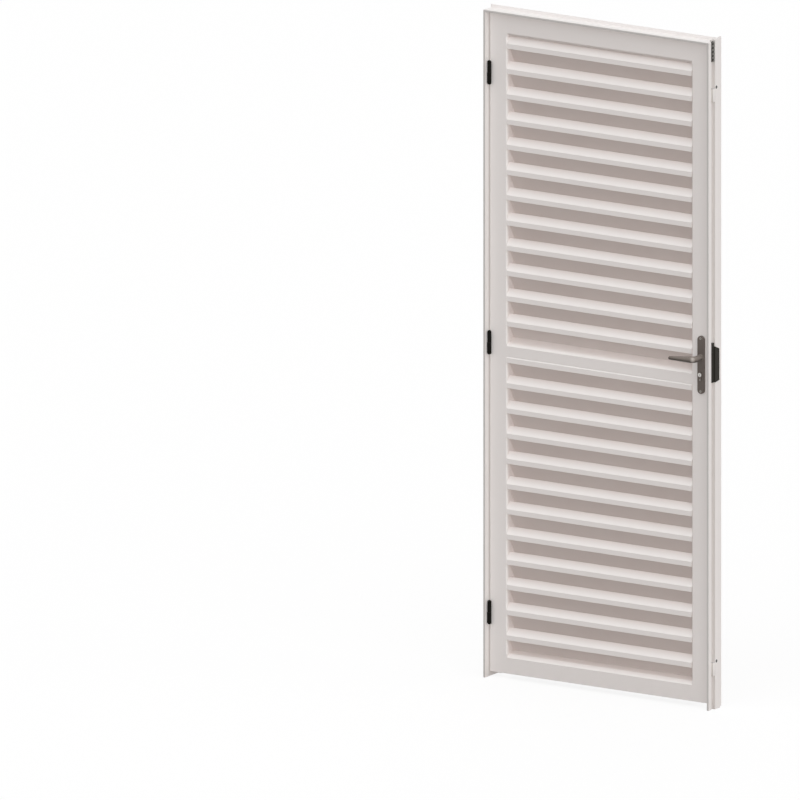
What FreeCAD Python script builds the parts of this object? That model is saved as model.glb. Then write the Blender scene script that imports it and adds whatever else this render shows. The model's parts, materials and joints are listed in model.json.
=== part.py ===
"""Louvred aluminium door, hinged on its left and closed in a three-sided frame.

X runs across the doorway, Y away from the room and Z up from the floor. The origin is on the hinge
jamb's wall face, at the floor and midway across that face.
"""
import FreeCAD
import Part
import Sketcher
import math
import os

SIZES = {
    # Frame: two jambs, a head and the stops behind the leaf
    "overall_width": 824,
    "overall_height": 2100,
    "frame_depth": 79,
    "flange_out": 6,
    "flange_back": 56,
    "front_lip": 6,
    "lip_depth": 16,
    "channel_width": 12,
    "frame_wall": 2,
    "head_fin": 4,
    "stop_reach": 11,
    "stop_thick": 3,
    "fixing_inset": 150,
    "fixing_from_back": 20,
    "fixing_radius": 4,
    # Anchor cleats and strike box in the outer channels
    "cleat_length": 62,
    "cleat_sink": 3.5,
    "cleat_ease": 0.3,
    "strike_height": 113,
    "strike_below_lever": 76,
    "strike_ease": 0.3,
    "strike_back": 3,
    "strike_top_run": 24,
    "strike_top_fall": 11,
    "strike_foot_run": 20,
    "strike_foot_rise": 3,
    "strike_stub": 11,
    "strike_mouth_height": 34,
    "strike_mouth_width": 15,
    "lock_line": 20,
    # Leaf: two stiles and three rails
    "leaf_recess": 21,
    "leaf_depth": 50,
    "leaf_gap": 6,
    "lock_gap": 7.5,
    "floor_gap": 17,
    "leaf_wall": 2,
    "stile_width": 60,
    "stile_bead": 3,
    "top_rail_face": 57,
    "top_rail_bevel": 10,
    "bottom_rail_face": 50,
    "bottom_rail_bevel": 11,
    "bottom_rail_rise": 6,
    "mid_rail_height": 1010.6,
    "mid_rail_face": 33.4,
    "mid_rail_bevel": 7,
    "mid_rail_rise": 14,
    "mid_rail_return": 14,
    "sill_clear": 0.4,
    # Louvres: nose, sloping face, ridge and web, all one folded strip
    "louvres_per_panel": 12,
    "louvre_wall": 2,
    "louvre_stand_out": 2,
    "nose_height": 15.6,
    "face_rise": 21.3,
    "face_run": 17,
    "web_bend": 2,
    "web_drop": 50,
    "web_run": 28,
    "first_below_top_rail": 47.6,
    "last_above_mid_rail": 95.8,
    "first_below_mid_rail": 18.7,
    "last_above_bottom_rail": 54.9,
    # Hinges
    "hinge_inset": 186,
    "barrel_radius": 6.25,
    "barrel_length": 75,
    "barrel_round": 4.5,
    "barrel_clear": 0.75,
    "barrel_split": 0.5,
    "pin_radius": 3,
    "pin_ease": 0.05,
    "pin_length": 30,
    "lug_thick": 5,
    # Lever handles, their plates and the lock
    "lever_height": 1101,
    "backset": 24,
    "plate_width": 24,
    "plate_above_lever": 67,
    "plate_below_lever": 115,
    "plate_thick": 8,
    "neck_radius": 8.5,
    "neck_reach": 40,
    "neck_ease": 0.3,
    "elbow_radius": 10,
    "grip_length": 84,
    "grip_tip_radius": 5.8,
    "spindle_radius": 4,
    "spindle_hole": 10,
    "cylinder_drop": 54,
    "cylinder_radius": 8.5,
    "cylinder_tail_radius": 5,
    "cylinder_tail": 16,
    "cylinder_stand_out": 3,
    "cylinder_ease": 0.3,
    "faceplate_height": 200,
    "faceplate_width": 16,
}

doc = FreeCAD.newDocument("louvred_door")
sheet = doc.addObject("Spreadsheet::Sheet", "Sheet")
for row, (alias, value) in enumerate(SIZES.items(), start=1):
    sheet.set(f"A{row}", alias)
    sheet.set(f"B{row}", str(value))
    sheet.setAlias(f"B{row}", alias)
doc.recompute()


class Size:
    """A length together with the expression that works it out from the sheet."""

    def __init__(self, value, text):
        self.value = value
        self.text = text

    @staticmethod
    def of(other):
        return other if isinstance(other, Size) else Size(other, repr(other))

    def join(self, sign, other, value):
        return Size(value, f"({self.text} {sign} {other.text})")

    def __add__(self, other):
        other = Size.of(other)
        return self.join("+", other, self.value + other.value)

    def __sub__(self, other):
        other = Size.of(other)
        return self.join("-", other, self.value - other.value)

    def __mul__(self, other):
        other = Size.of(other)
        return self.join("*", other, self.value * other.value)

    def __truediv__(self, other):
        other = Size.of(other)
        return self.join("/", other, self.value / other.value)


def root(size):
    return Size(math.sqrt(size.value), f"sqrt({size.text})")


class Cells:
    """The sheet's driving sizes, by alias."""

    def __getattr__(self, alias):
        return Size(float(sheet.get(alias)), f"Sheet.{alias}")


d = Cells()
ZERO = Size(0, "0")
AXIS_TURNS = {
    "+X": FreeCAD.Rotation(FreeCAD.Vector(0, 1, 0), 90),
    "-X": FreeCAD.Rotation(FreeCAD.Vector(0, 1, 0), -90),
    "+Y": FreeCAD.Rotation(FreeCAD.Vector(1, 0, 0), -90),
    "+Z": FreeCAD.Rotation(),
}
pieces = []

# Places across the doorway, measured from the hinge side's wall face
jamb_face = d.flange_out + d.front_lip
jamb_floor = jamb_face - d.frame_wall
lock_jamb_face = d.overall_width - jamb_face
leaf_left = jamb_face + d.leaf_gap
leaf_right = lock_jamb_face - d.lock_gap
panel_left = leaf_left + d.stile_width
panel_right = leaf_right - d.stile_width
lever_x = leaf_right - d.backset

# Places in depth, measured back from the frame's front
wall_face_front = d.lip_depth + d.channel_width
wall_face_middle = (wall_face_front + d.flange_back) / 2
leaf_front = d.leaf_recess
leaf_back = leaf_front + d.leaf_depth
lock_line = leaf_front + d.lock_line
stop_front = d.frame_depth - d.stop_thick

# Heights from the floor
head_face = d.overall_height - jamb_face
head_floor = head_face + d.frame_wall
lip_top = head_face + d.front_lip
leaf_bottom = d.floor_gap
leaf_top = head_face - d.leaf_gap
top_rail_bottom = leaf_top - d.top_rail_face
bottom_rail_top = leaf_bottom + d.bottom_rail_face
last_upper_nose = d.mid_rail_height + d.last_above_mid_rail
lowest_nose = bottom_rail_top + d.last_above_bottom_rail
strike_bottom = d.lever_height - d.strike_below_lever
strike_top = strike_bottom + d.strike_height


def bind(item, name, length):
    item.setExpression(name, length.text)


def place(item, x, y, z, axis="+Z"):
    """Put an object at a point whose depth is measured from the frame's front."""
    item.Placement = FreeCAD.Placement(FreeCAD.Vector(), AXIS_TURNS[axis])
    bind(item, "Placement.Base.x", Size.of(x))
    bind(item, "Placement.Base.y", y - wall_face_middle)
    bind(item, "Placement.Base.z", Size.of(z))


def piece(item, label):
    item.Label = label
    pieces.append(item)
    return item


def box(name, low, high):
    """A block between two corners."""
    block = doc.addObject("Part::Box", name)
    for side, start, end in zip(("Length", "Width", "Height"), low, high):
        bind(block, side, end - start)
    place(block, *low)
    return block


def rod(name, radius, start, length, axis="+Z"):
    """A round bar from a point, along an axis."""
    bar = doc.addObject("Part::Cylinder", name)
    bind(bar, "Radius", radius)
    bind(bar, "Height", length)
    place(bar, *start, axis)
    return bar


def ball(name, radius, centre):
    knob = doc.addObject("Part::Sphere", name)
    bind(knob, "Radius", radius)
    place(knob, *centre)
    return knob


def taper(name, start_radius, end_radius, start, length, axis):
    cone = doc.addObject("Part::Cone", name)
    bind(cone, "Radius1", start_radius)
    bind(cone, "Radius2", end_radius)
    bind(cone, "Height", length)
    place(cone, *start, axis)
    return cone


def fuse(name, *shapes):
    joined = doc.addObject("Part::MultiFuse", name)
    joined.Shapes = list(shapes)
    joined.Refine = True
    return joined


def cut(name, base, *tools):
    """The base with every tool taken out of it."""
    rest = doc.addObject("Part::Cut", name)
    rest.Base = base
    rest.Tool = tools[0] if len(tools) == 1 else fuse(f"{name}_tools", *tools)
    rest.Refine = True
    return rest


def round_end(name, bar, radius, top):
    """Round one end of an upright bar."""
    doc.recompute()
    heights = [edge.CenterOfMass.z for edge in bar.Shape.Edges]
    edge_number = heights.index(max(heights) if top else min(heights)) + 1
    rounded = doc.addObject("Part::Fillet", name)
    rounded.Base = bar
    rounded.Edges = [(edge_number, radius.value, radius.value)]
    return rounded


def prism(name, plane, loops, start, length):
    """A section of straight edges on one of the origin planes, drawn out along that plane's normal."""
    body = doc.addObject("PartDesign::Body", name)
    sketch = body.newObject("Sketcher::SketchObject", f"{name}_section")
    support = next(item for item in body.Origin.OriginFeatures if item.Role == plane)
    sketch.AttachmentSupport = (support, [""])
    sketch.MapMode = "FlatFace"
    for loop in loops:
        first = sketch.GeometryCount
        corners = [FreeCAD.Vector(Size.of(a).value, Size.of(b).value, 0) for a, b in loop]
        for here, there in zip(corners, corners[1:] + corners[:1]):
            sketch.addGeometry(Part.LineSegment(here, there))
        for step, corner in enumerate(loop):
            after = (step + 1) % len(loop)
            sketch.addConstraint(Sketcher.Constraint("Coincident", first + step, 2, first + after, 1))
            for kind, length_along in zip(("DistanceX", "DistanceY"), map(Size.of, corner)):
                number = sketch.addConstraint(
                    Sketcher.Constraint(kind, -1, 1, first + step, 1, length_along.value))
                sketch.setExpression(f"Constraints[{number}]", length_along.text)
    pad = body.newObject("PartDesign::Pad", f"{name}_run")
    pad.Profile = sketch
    bind(pad, "Length", length)
    place(body, *start)
    return body


def mirrored(loop, width):
    return [(width - a, b) for a, b in loop]


# The jambs' section, from the wall side inwards and from the front back
jamb_outline = [
    (d.flange_out, ZERO),
    (jamb_face, ZERO),
    (jamb_face, d.frame_depth),
    (jamb_floor, d.frame_depth),
    (jamb_floor, d.flange_back),
    (ZERO, d.flange_back),
    (ZERO, wall_face_front),
    (jamb_floor, wall_face_front),
    (jamb_floor, d.lip_depth),
    (d.flange_out, d.lip_depth),
]
jamb_hollow = [
    (d.frame_wall, wall_face_front + d.frame_wall),
    (jamb_floor, wall_face_front + d.frame_wall),
    (jamb_floor, d.flange_back - d.frame_wall),
    (d.frame_wall, d.flange_back - d.frame_wall),
]

# The head's section, from the front back: lip, open channel, fin and the part behind the leaf
head_outline = [
    (ZERO, head_face),
    (ZERO, lip_top),
    (d.lip_depth, lip_top),
    (d.lip_depth, head_floor),
    (d.flange_back - d.head_fin, head_floor),
    (d.flange_back - d.head_fin, d.overall_height),
    (d.flange_back, d.overall_height),
    (d.flange_back, head_floor),
    (d.frame_depth, head_floor),
    (d.frame_depth, head_face),
]


def fixing_holes(name, wall_x):
    """A pair of screw holes through a jamb, one near each end."""
    depth = d.flange_back - d.fixing_from_back
    heights = (d.fixing_inset, d.overall_height - d.fixing_inset)
    return [rod(f"{name}_fixing_{number}", d.fixing_radius, (wall_x, depth, height), jamb_face, "+X")
            for number, height in enumerate(heights, start=1)]


def jamb(label, loops, trims):
    """A hollow upright as tall as the frame, less its trims."""
    bar = prism(f"{label}_bar", "XY_Plane", loops, (ZERO, ZERO, ZERO), d.overall_height)
    piece(cut(f"{label}_cut", bar, *trims), label)


def frame_bars():
    """The jambs stand on the floor. The head lies on the hinge jamb and meets the lock jamb's side."""
    width = d.overall_width
    far = lock_jamb_face
    top = d.overall_height
    hinge_lip = box("hinge_lip_trim", (ZERO, ZERO, lip_top), (jamb_face, d.lip_depth, top))
    hinge_seat = box("hinge_head_seat", (ZERO, d.lip_depth, head_face), (jamb_face, d.frame_depth, top))
    jamb("hinge_jamb", [jamb_outline, jamb_hollow], [hinge_lip, hinge_seat, *fixing_holes("hinge", ZERO)])

    lock_lip = box("lock_lip_trim", (far, ZERO, lip_top), (width, d.lip_depth, top))
    lock_cuts = [lock_lip, *fixing_holes("lock", far), strike_block("strike_window", ZERO)]
    lock_loops = [mirrored(jamb_outline, width), mirrored(jamb_hollow, width)]
    jamb("lock_jamb", lock_loops, [*lock_cuts, *strike_mouths("jamb_mouth")])

    head_bar = prism("head_bar", "YZ_Plane", [head_outline], (ZERO, ZERO, ZERO), far)
    lip_end = box("head_lip_end", (ZERO, ZERO, head_face), (jamb_face, d.lip_depth, top))
    piece(cut("head_cut", head_bar, lip_end), "head")


def stops():
    """Flat strips behind the leaf that it closes against."""
    left = jamb_face + d.stop_reach
    right = lock_jamb_face - d.stop_reach
    back = d.frame_depth
    piece(box("hinge_stop_strip", (jamb_face, stop_front, ZERO), (left, back, head_face)), "hinge_stop")
    piece(box("lock_stop_strip", (right, stop_front, ZERO), (lock_jamb_face, back, head_face)), "lock_stop")
    low = head_face - d.stop_reach
    piece(box("head_stop_strip", (left, stop_front, low), (right, back, head_face)), "head_stop")


def cleats():
    """A dark anchor bar in each jamb's outer channel, on the channel's floor and just under the top."""
    front = d.lip_depth + d.cleat_ease
    back = wall_face_front - d.cleat_ease
    inner = d.overall_width - jamb_floor
    outer = d.overall_width - d.cleat_sink
    for label, left, right, top in (
        ("hinge_cleat", d.cleat_sink, jamb_floor, head_face),
        ("lock_cleat", inner, outer, lip_top),
    ):
        piece(box(f"{label}_bar", (left, front, top - d.cleat_length), (right, back, top)), label)


def strike_block(name, ease):
    """The strike box's outline, from the outer channel back, with its two back corners sloped off."""
    inner = d.overall_width - jamb_floor
    front = wall_face_front
    back = d.flange_back - d.strike_back - ease
    low = strike_bottom + ease
    high = strike_top - ease
    outline = [
        (front, low),
        (back - d.strike_foot_run, low),
        (back, low + d.strike_foot_rise),
        (back, high - d.strike_top_fall),
        (back - d.strike_top_run, high),
        (front, high),
    ]
    return prism(name, "YZ_Plane", [outline], (inner, ZERO, ZERO), jamb_floor)


def strike_mouths(name):
    """Two mouths from the rebate into the strike box, for the latch and the bolt."""
    depth = d.strike_mouth_width / 2
    inner = lock_jamb_face
    outer = d.overall_width - d.frame_wall
    bolt_low = strike_bottom + (d.strike_height / 2 - d.strike_mouth_height) / 2
    mouths = []
    for number, low in enumerate((bolt_low, bolt_low + d.strike_height / 2), start=1):
        corner = (inner, lock_line - depth, low)
        mouths.append(box(f"{name}_{number}", corner,
                          (outer, lock_line + depth, low + d.strike_mouth_height)))
    return mouths


def strike_box():
    """Dark box let into the lock jamb, with a sunk strip in front of it that runs up the outer channel."""
    inner = d.overall_width - jamb_floor
    front = d.lip_depth + d.strike_ease
    strip = box("strike_strip", (inner, front, strike_bottom + d.strike_ease),
                (d.overall_width - d.cleat_sink, wall_face_front, strike_top + d.strike_stub))
    outline = fuse("strike_outline", strike_block("strike_body", d.strike_ease), strip)
    piece(cut("strike_cut", outline, *strike_mouths("strike_mouth")), "strike_box")


def bead_cuts(name, inner, into):
    """Wedges that bevel a stile's front inner edge beside each panel of louvres."""
    edge = inner - d.stile_bead * into
    wedge = [(edge, leaf_front), (inner, leaf_front), (inner, leaf_front + d.stile_bead)]
    mid_top = d.mid_rail_height + d.mid_rail_face + d.mid_rail_bevel
    spans = ((bottom_rail_top + d.bottom_rail_bevel, d.mid_rail_height),
             (mid_top, top_rail_bottom - d.top_rail_bevel))
    return [prism(f"{name}_bead_{number}", "XY_Plane", [wedge], (ZERO, ZERO, low), high - low)
            for number, (low, high) in enumerate(spans, start=1)]


def stile(name, outer, inner, cuts):
    """A hollow upright, bevelled along its louvres."""
    into = 1 if outer.value < inner.value else -1
    wall = d.leaf_wall * into
    outline = [(outer, leaf_front), (inner, leaf_front), (inner, leaf_back), (outer, leaf_back)]
    hollow = [
        (outer + wall, leaf_front + d.leaf_wall),
        (inner - wall - d.stile_bead * into, leaf_front + d.leaf_wall),
        (inner - wall, leaf_front + d.leaf_wall + d.stile_bead),
        (inner - wall, leaf_back - d.leaf_wall),
        (outer + wall, leaf_back - d.leaf_wall),
    ]
    bar = prism(f"{name}_bar", "XY_Plane", [outline, hollow], (ZERO, ZERO, leaf_bottom),
                leaf_top - leaf_bottom)
    piece(cut(f"{name}_cut", bar, *bead_cuts(name, inner, into), *cuts), name)


def rail(name, loops):
    """A bar between the stiles, from loops of depth behind the leaf's front and height."""
    placed = [[(leaf_front + depth, height) for depth, height in loop] for loop in loops]
    bar = prism(f"{name}_bar", "YZ_Plane", placed, (panel_left, ZERO, ZERO), panel_right - panel_left)
    piece(bar, name)


def web_lean():
    """How far a louvre's web goes back for each unit that it falls below its bend."""
    return d.web_run / (d.web_drop - d.web_bend)


def web_thickness():
    """The leaning web's thickness, measured straight back."""
    return root(web_lean() * web_lean() + 1) * d.louvre_wall


def web_reach(nose_low, height):
    """How far behind the leaf's front a louvre's leaning web begins, at a height."""
    start = d.face_run + d.louvre_wall - d.louvre_stand_out
    return start + (nose_low - d.web_bend - height) * web_lean() - web_thickness()


def sill(low, face_top, bevel, rise, last_nose, wall):
    """The outer and inner lines of a rail's top: face, bevel and a slope up to the last louvre's web."""
    crest = face_top + bevel + rise
    reach = web_reach(last_nose, crest) - d.sill_clear
    fall = rise / (reach - bevel)
    thick = root(fall * fall + 1) * wall
    diagonal = math.sqrt(2)
    knee = bevel + (wall * diagonal - thick) / (Size.of(1) - fall)
    outer = [(ZERO, low), (ZERO, face_top), (bevel, face_top + bevel), (reach, crest)]
    inner = [(reach - wall, crest - fall * wall - thick), (knee, face_top + knee - wall * diagonal),
             (wall, face_top + wall - wall * diagonal)]
    return outer, inner


def rails():
    wall = d.leaf_wall
    back = d.leaf_depth
    top_low = top_rail_bottom - d.top_rail_bevel
    rail("top_rail", [
        [(ZERO, leaf_top), (ZERO, top_rail_bottom), (d.top_rail_bevel, top_low), (back, top_low),
         (back, leaf_top)],
        [(wall, leaf_top - wall), (wall, top_rail_bottom), (d.top_rail_bevel + wall / 2, top_low + wall),
         (back - wall, top_low + wall), (back - wall, leaf_top - wall)],
    ])

    low = leaf_bottom
    outer, inner = sill(low, bottom_rail_top, d.bottom_rail_bevel, d.bottom_rail_rise, lowest_nose, wall)
    ledge = outer[-1][0]
    rail("bottom_rail", [
        [*outer, (ledge, bottom_rail_top), (back, bottom_rail_top), (back, low)],
        [*inner, (wall, low + wall), (back - wall, low + wall), (back - wall, bottom_rail_top - wall),
         (ledge - wall, bottom_rail_top - wall)],
    ])

    low = d.mid_rail_height
    face_top = low + d.mid_rail_face
    outer, inner = sill(low, face_top, d.mid_rail_bevel, d.mid_rail_rise, last_upper_nose, wall)
    reach, crest = outer[-1]
    lip = crest - d.mid_rail_return
    foot = low + wall * (d.face_rise / d.face_run)
    rail("mid_rail", [[*outer, (reach, lip), (reach - wall, lip), *inner, (wall, foot)]])


def louvre(label, nose_low):
    """A folded strip between the stiles: nose, face rising inwards, ridge, and a web that falls behind."""
    front = leaf_front - d.louvre_stand_out
    wall = d.louvre_wall
    nose_top = nose_low + d.nose_height
    ridge = nose_top + d.face_rise
    slope = d.face_rise / d.face_run
    face_thick = root(slope * slope + 1) * wall
    web = front + d.face_run
    bend = nose_low - d.web_bend
    web_thick = web_thickness()
    web_end = web + wall + d.web_run
    drip = nose_low - d.web_drop
    outline = [
        (front, nose_low),
        (front, nose_top),
        (web, ridge),
        (web + wall, ridge),
        (web + wall, bend),
        (web_end, drip),
        (web_end - web_thick, drip),
        (web, bend - (web_thick - wall) / web_lean()),
        (web, ridge - face_thick),
        (front + wall, nose_top + slope * wall - face_thick),
        (front + wall, nose_low),
    ]
    piece(prism(f"{label}_strip", "YZ_Plane", [outline], (panel_left, ZERO, ZERO),
                panel_right - panel_left), label)


def louvre_heights(highest, lowest):
    """Evenly spaced noses between two heights, as many as a panel holds."""
    steps = round(d.louvres_per_panel.value) - 1
    return [highest - (highest - lowest) * (number / steps) for number in range(steps + 1)]


def louvres():
    upper = louvre_heights(top_rail_bottom - d.first_below_top_rail, last_upper_nose)
    lower = louvre_heights(d.mid_rail_height - d.first_below_mid_rail, lowest_nose)
    for side, heights in (("upper", upper), ("lower", lower)):
        for number, height in enumerate(heights, start=1):
            louvre(f"{side}_louvre_{number:02d}", height)


def hinge(name, middle):
    """A barrel in two halves: the lower one on the jamb with the pin, the upper one on the leaf."""
    x = jamb_face + d.barrel_radius + d.barrel_clear
    y = leaf_front - d.barrel_radius - d.barrel_clear
    half = (d.barrel_length - d.barrel_split) / 2
    foot = middle - d.barrel_length / 2
    seat = middle + d.barrel_split / 2
    side = d.lug_thick / 2

    lower = rod(f"{name}_lower_bar", d.barrel_radius, (x, y, foot), half)
    lower_round = round_end(f"{name}_lower_round", lower, d.barrel_round, top=False)
    jamb_lug = box(f"{name}_jamb_lug", (jamb_face, y - side, foot + d.barrel_round),
                   (x, y + side, foot + half))
    pin = rod(f"{name}_pin", d.pin_radius, (x, y, foot + half - side), d.pin_length + side)
    piece(fuse(f"{name}_lower", lower_round, jamb_lug, pin), f"{name}_frame_half")

    upper = rod(f"{name}_upper_bar", d.barrel_radius, (x, y, seat), half)
    upper_round = round_end(f"{name}_upper_round", upper, d.barrel_round, top=True)
    leaf_lug = box(f"{name}_leaf_lug", (x - side, y, seat),
                   (x + side, leaf_front, seat + half - d.barrel_round))
    bore = rod(f"{name}_bore", d.pin_radius + d.pin_ease, (x, y, seat), d.pin_length + d.barrel_split)
    outline = fuse(f"{name}_upper_outline", upper_round, leaf_lug)
    piece(cut(f"{name}_upper", outline, bore), f"{name}_leaf_half")


def hinges():
    low = leaf_bottom + d.hinge_inset
    high = leaf_top - d.hinge_inset
    for name, middle in (("bottom_hinge", low), ("middle_hinge", (low + high) / 2), ("top_hinge", high)):
        hinge(name, middle)


def lock_outline(name, start, end, ease):
    """The lock cylinder's outline: a round body with a narrower tail below it, right through the leaf."""
    middle = d.lever_height - d.cylinder_drop
    tail_end = middle - d.cylinder_tail
    tail = d.cylinder_tail_radius + ease
    length = end - start
    plug = rod(f"{name}_plug", d.cylinder_radius + ease, (lever_x, start, middle), length, "+Y")
    neck = box(f"{name}_neck", (lever_x - tail, start, tail_end), (lever_x + tail, end, middle))
    foot = rod(f"{name}_foot", tail, (lever_x, start, tail_end), length, "+Y")
    return fuse(name, plug, neck, foot)


def lever_hole(name, radius, start, end):
    return rod(name, radius, (lever_x, start, d.lever_height), end - start, "+Y")


def handle_plate(label, start):
    """A long plate with round ends, holed for the lever's neck and the lock cylinder."""
    end = start + d.plate_thick
    radius = d.plate_width / 2
    top = d.lever_height + d.plate_above_lever - radius
    low = d.lever_height - d.plate_below_lever + radius
    body = box(f"{label}_body", (lever_x - radius, start, low), (lever_x + radius, end, top))
    ends = [rod(f"{label}_end_{number}", radius, (lever_x, start, height), d.plate_thick, "+Y")
            for number, height in enumerate((low, top), start=1)]
    neck_hole = lever_hole(f"{label}_neck_hole", d.neck_radius + d.neck_ease, start, end)
    lock_hole = lock_outline(f"{label}_lock_hole", start, end, d.cylinder_ease)
    outline = fuse(f"{label}_outline", body, *ends)
    piece(cut(f"{label}_cut", outline, neck_hole, lock_hole), label)


def lever(label, face, out):
    """A lever with a round neck, a rounded elbow and a tapering grip towards the hinges."""
    elbow = face + (d.plate_thick + d.neck_reach) * out
    seat = face + d.neck_ease * out
    start, end = (elbow, seat) if out < 0 else (seat, elbow)
    neck = lever_hole(f"{label}_neck", d.neck_radius, start, end)
    bend = ball(f"{label}_elbow", d.elbow_radius, (lever_x, elbow, d.lever_height))
    grip = taper(f"{label}_grip", d.elbow_radius, d.grip_tip_radius, (lever_x, elbow, d.lever_height),
                 d.grip_length, "-X")
    tip = ball(f"{label}_tip", d.grip_tip_radius, (lever_x - d.grip_length, elbow, d.lever_height))
    piece(fuse(f"{label}_whole", neck, bend, grip, tip), label)


def lock_set():
    handle_plate("front_plate", leaf_front - d.plate_thick)
    handle_plate("back_plate", leaf_back)
    lever("front_lever", leaf_front, -1)
    lever("back_lever", leaf_back, 1)
    piece(lever_hole("spindle_bar", d.spindle_radius, leaf_front - d.neck_ease,
                     leaf_back + d.neck_ease), "spindle")
    stand_out = d.plate_thick + d.cylinder_stand_out
    piece(lock_outline("lock_cylinder_body", leaf_front - stand_out, leaf_back + stand_out, ZERO),
          "lock_cylinder")
    piece(faceplate("faceplate_strip"), "lock_faceplate")


def faceplate(name):
    """The lock's flat front, let into the stile's edge."""
    depth = d.faceplate_width / 2
    middle = strike_bottom + d.strike_height / 2
    low = middle - d.faceplate_height / 2
    return box(name, (leaf_right - d.leaf_wall, lock_line - depth, low),
               (leaf_right, lock_line + depth, low + d.faceplate_height))


def leaf_frame():
    stile("hinge_stile", leaf_left, panel_left, [])
    lock_cuts = [
        lever_hole("stile_spindle_hole", d.spindle_hole, leaf_front, leaf_back),
        lock_outline("stile_lock_hole", leaf_front, leaf_back, d.cylinder_ease),
        faceplate("stile_faceplate_seat"),
    ]
    stile("lock_stile", leaf_right, panel_right, lock_cuts)
    rails()


def check_and_write():
    """Refuse a failed feature or a broken solid, then write one file for each piece."""
    doc.recompute()
    for item in doc.Objects:
        if "Invalid" in item.State or "Error" in item.State:
            raise RuntimeError(f"{item.Name} failed: {item.State}")
    os.makedirs("parts", exist_ok=True)
    for item in pieces:
        if item.Shape.isNull() or not item.Shape.isValid() or not item.Shape.Solids:
            raise RuntimeError(f"{item.Label} has no sound solid")
    for item in pieces:
        item.Shape.exportStep(f"parts/{item.Label}.step")
        bounds = item.Shape.BoundBox
        print(f"{item.Label}: {len(item.Shape.Solids)} solid, {item.Shape.Volume / 1000:.1f} cm3, "
              f"x {bounds.XMin:.1f} to {bounds.XMax:.1f}, y {bounds.YMin:.1f} to {bounds.YMax:.1f}, "
              f"z {bounds.ZMin:.1f} to {bounds.ZMax:.1f}")


frame_bars()
stops()
cleats()
strike_box()
leaf_frame()
louvres()
hinges()
lock_set()
check_and_write()
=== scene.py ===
# %% [markdown]
# # A white louvred door
# The door's solids come in as a fixed frame, in metres: X runs across the doorway from the hinges to the
# lock, Y away from the room and Z up from the floor. This lesson lights that frame, paints it and adds
# the small pieces that a maker fits last. The box of the bare solids is kept, to be printed beside the
# dressed door's box at the end. The box of the bare solids is kept, because nothing may grow outside it.

# %% Load the frame
import json
import math

import bmesh
import bpy
from mathutils import Matrix, Vector


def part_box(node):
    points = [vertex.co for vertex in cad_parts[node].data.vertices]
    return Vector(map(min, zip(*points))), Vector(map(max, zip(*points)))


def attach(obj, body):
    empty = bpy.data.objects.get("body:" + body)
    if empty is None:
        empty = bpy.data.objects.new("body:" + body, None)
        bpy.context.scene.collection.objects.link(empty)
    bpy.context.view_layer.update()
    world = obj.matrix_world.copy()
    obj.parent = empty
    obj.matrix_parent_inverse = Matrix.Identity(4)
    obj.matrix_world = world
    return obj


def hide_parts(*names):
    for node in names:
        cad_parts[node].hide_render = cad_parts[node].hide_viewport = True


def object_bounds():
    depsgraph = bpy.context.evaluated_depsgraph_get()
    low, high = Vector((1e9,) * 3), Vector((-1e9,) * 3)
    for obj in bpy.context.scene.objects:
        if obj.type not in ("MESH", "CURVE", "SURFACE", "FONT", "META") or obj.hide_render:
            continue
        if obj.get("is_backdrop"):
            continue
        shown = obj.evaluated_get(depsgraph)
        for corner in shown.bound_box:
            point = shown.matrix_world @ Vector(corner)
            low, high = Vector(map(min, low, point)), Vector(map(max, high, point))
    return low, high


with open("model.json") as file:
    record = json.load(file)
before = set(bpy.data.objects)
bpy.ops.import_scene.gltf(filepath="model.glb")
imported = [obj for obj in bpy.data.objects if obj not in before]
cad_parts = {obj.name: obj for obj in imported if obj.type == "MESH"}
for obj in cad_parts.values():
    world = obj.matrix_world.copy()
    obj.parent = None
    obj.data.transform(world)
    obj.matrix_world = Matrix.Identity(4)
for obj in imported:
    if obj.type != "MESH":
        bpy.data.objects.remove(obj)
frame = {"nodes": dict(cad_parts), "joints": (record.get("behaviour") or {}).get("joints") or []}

cad_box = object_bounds()
nodes = frame["nodes"]
MM = 0.001

# %% [markdown]
# ## Camera
# Edges that are parallel on the door stay parallel in the picture, so the view has no vanishing points.
# An orthographic camera gives that. It stands to the right of square and a little above the door's
# middle, and one known corner of the frame, the foot of the hinge jamb's front edge, settles where the
# picture's centre is.

# %% Orthographic camera
AZIMUTH = math.radians(32.3)
ELEVATION = math.radians(13.65)
PIXELS_PER_MM = 0.3281
PICTURE = 800
FOOT = Vector((6, -42, 0)) * MM
FOOT_PIXEL = (483.3, 677.3)
CAMERA_DISTANCE = 9

look = Vector((-math.sin(AZIMUTH) * math.cos(ELEVATION), math.cos(AZIMUTH) * math.cos(ELEVATION),
               -math.sin(ELEVATION)))
right = Vector((math.cos(AZIMUTH), math.sin(AZIMUTH), 0))
up = right.cross(look)
pixel = MM / PIXELS_PER_MM
rightwards = (PICTURE / 2 - FOOT_PIXEL[0]) * pixel
upwards = (FOOT_PIXEL[1] - PICTURE / 2) * pixel
centre = FOOT + right * rightwards + up * upwards

camera = bpy.data.objects.new("camera", bpy.data.cameras.new("camera"))
camera.data.type = "ORTHO"
camera.data.ortho_scale = PICTURE * pixel
camera.location = centre - look * CAMERA_DISTANCE
camera.rotation_euler = look.to_track_quat("-Z", "Y").to_euler()
bpy.context.scene.collection.objects.link(camera)
bpy.context.scene.camera = camera
bpy.context.scene.view_settings.view_transform = "Standard"
print("camera at", [round(value, 3) for value in camera.location])

# %% [markdown]
# ## Shader arithmetic
# A finish is a sum of small effects: grain, drift of tone, dust. Written with nodes alone, that sum is
# hard to read. This small class holds one socket, and the usual signs add the Math node that they stand
# for. One method, `node`, adds any other node: its type, its settings, then what goes into its sockets.

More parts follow.
